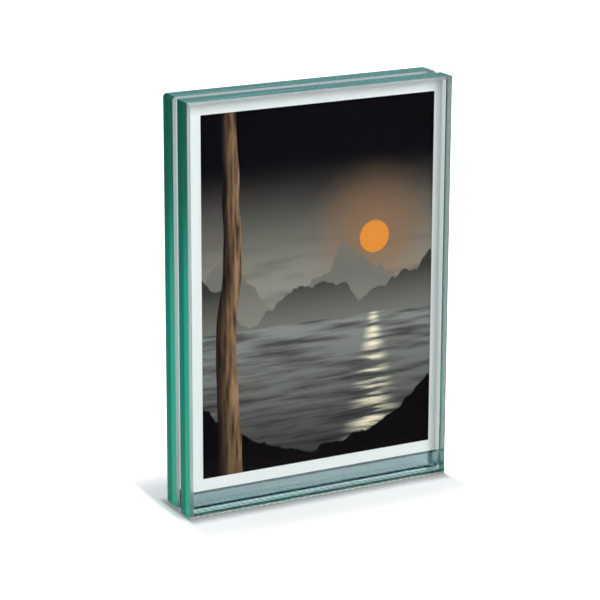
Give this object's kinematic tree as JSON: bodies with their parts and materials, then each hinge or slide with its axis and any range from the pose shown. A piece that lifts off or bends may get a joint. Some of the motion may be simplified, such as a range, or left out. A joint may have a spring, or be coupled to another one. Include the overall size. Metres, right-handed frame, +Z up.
{
  "type": "glass picture frame",
  "caption": "Free-standing picture frame of thick clear glass panes on edge, bonded to a bar along the bottom, with a slot open at the top and sides for a bordered print.",
  "frame": {"origin": "centre of the frame's base, on the surface that it stands on", "axes": "+Z up along the panes' height, +Y from the front pane to the rear pane, +X to the right seen from the front"},
  "size_m": [0.134, 0.0264, 0.192],
  "materials": {
    "float_glass": "clear float glass, edges ground flat and polished",
    "clear_adhesive": "clear UV-cured adhesive film",
    "photo_paper": "satin photo print with a white border"
  },
  "bodies": {
    "glass_frame": {"front_pane": "float_glass", "front_bond": "clear_adhesive", "spacer_bar": "float_glass", "rear_bond": "clear_adhesive", "rear_pane": "float_glass"},
    "print": {"photo_print": "photo_paper"}
  },
  "joints": [
    {"name": "print_lift", "type": "slide", "parent": "glass_frame", "child": "print", "axis": [0, 0, 1], "range_m": [0, 0.19]}
  ]
}
